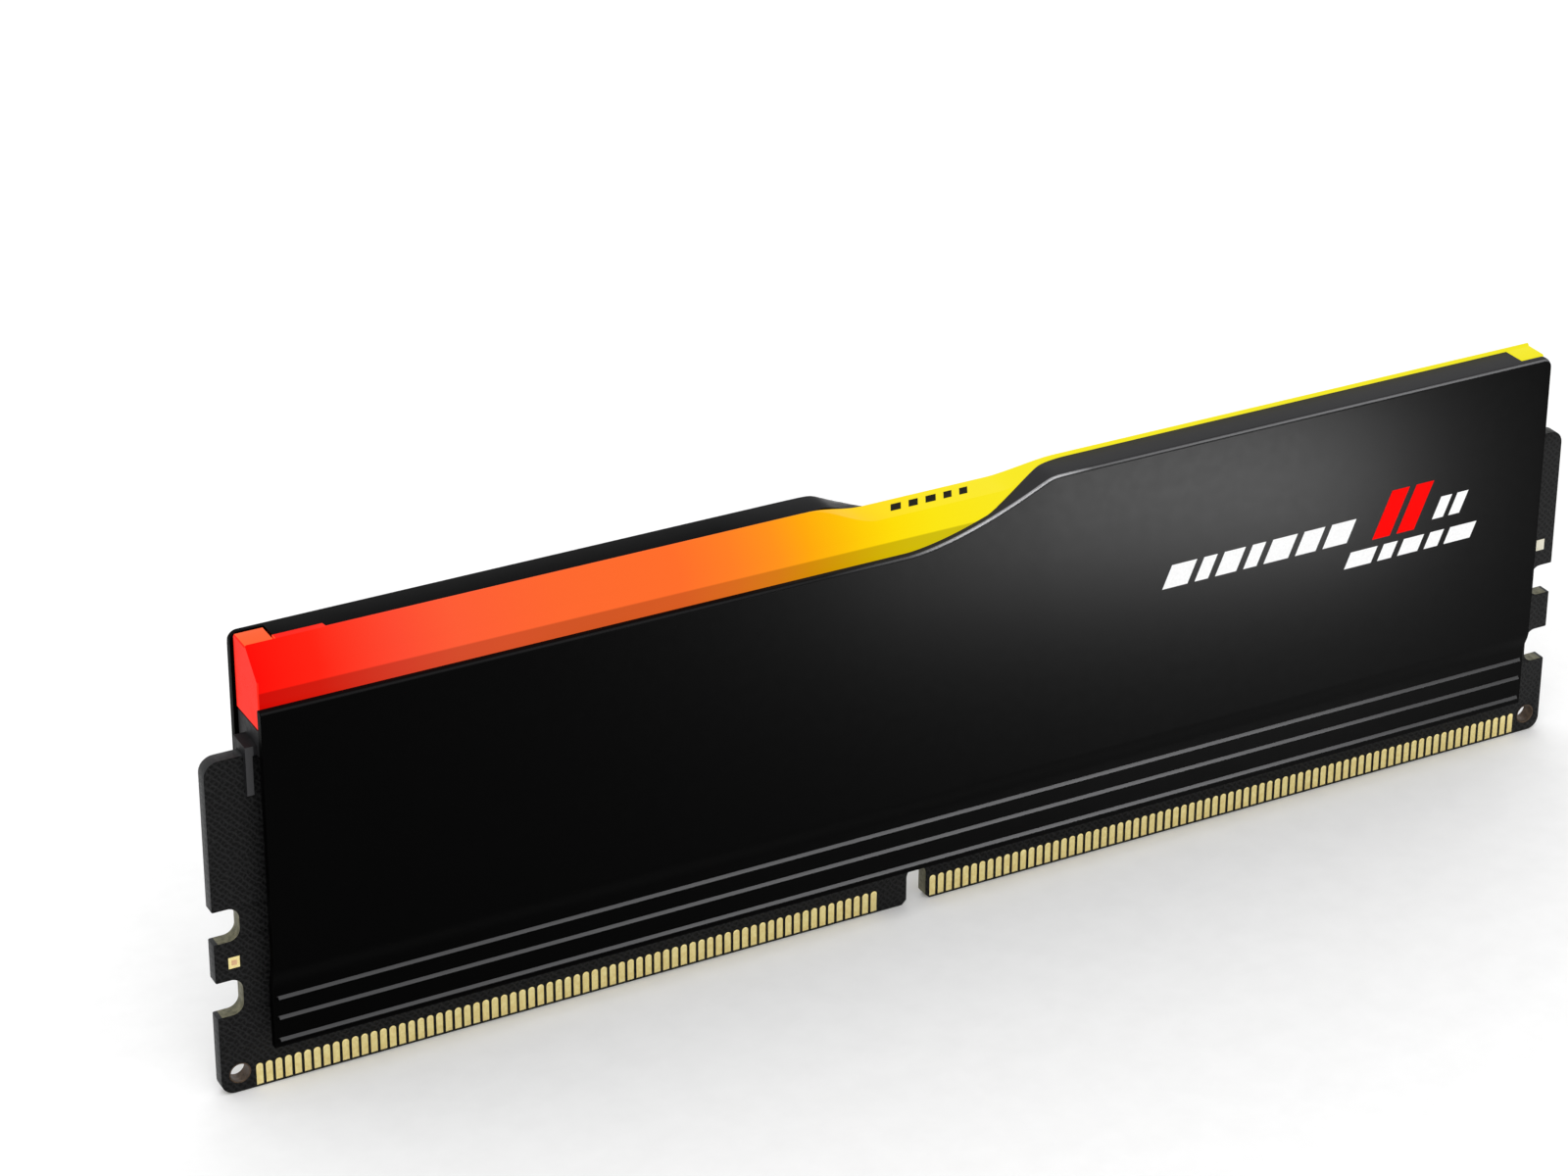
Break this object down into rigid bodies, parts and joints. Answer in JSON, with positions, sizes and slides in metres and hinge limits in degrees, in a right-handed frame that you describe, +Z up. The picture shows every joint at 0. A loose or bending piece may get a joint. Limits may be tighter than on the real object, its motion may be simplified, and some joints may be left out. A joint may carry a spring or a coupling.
{
  "type": "memory module",
  "caption": "Upright desktop memory module with an edge connector, a keyed circuit board, folded black metal heat spreaders on both faces and a glowing light bar along the top.",
  "frame": {"origin": "middle of the circuit board's bottom edge, half way through its thickness", "axes": "+X along the board's length, -Y the face with the memory chips, +Z up, away from the edge connector"},
  "size_m": [0.1334, 0.0069, 0.0406],
  "materials": {
    "solder_mask": "fine woven texture, satin",
    "gold": "bright gold plating",
    "chip": "moulded, matte",
    "ferrite": "pressed ferrite, matte",
    "ceramic": "fired ceramic, satin",
    "led": "clear moulding over white",
    "pad": "soft, matte",
    "anodised": "black anodised, fine blasted satin",
    "diffuser": "milky, lit from inside",
    "black_plastic": "moulded, matte",
    "label": "coated paper, blank"
  },
  "bodies": {
    "root": {"circuit_board": "solder_mask", "contacts_front_left": "gold", "contacts_front_right": "gold", "contacts_rear_left": "gold", "contacts_rear_right": "gold", "memory_chip_1": "chip", "memory_chip_2": "chip", "memory_chip_3": "chip", "memory_chip_4": "chip", "memory_chip_5": "chip", "memory_chip_6": "chip", "memory_chip_7": "chip", "memory_chip_8": "chip", "power_chip": "chip", "hub_chip": "chip", "light_driver_chip": "chip", "power_coil_1": "ferrite", "power_coil_2": "ferrite", "power_coil_3": "ferrite", "bulk_capacitor_1": "ceramic", "bulk_capacitor_2": "ceramic", "bulk_capacitor_3": "ceramic", "bulk_capacitor_4": "ceramic", "led_1": "led", "led_2": "led", "led_3": "led", "led_4": "led", "led_5": "led", "led_6": "led", "led_7": "led", "led_8": "led", "led_9": "led", "led_10": "led", "thermal_pad_front_left": "pad", "thermal_pad_front_right": "pad", "thermal_pad_power": "pad", "thermal_pad_rear": "pad", "heat_spreader_front": "anodised", "heat_spreader_rear": "anodised", "light_bar": "diffuser", "light_bar_holder": "black_plastic", "rear_label": "label"}
  },
  "joints": []
}
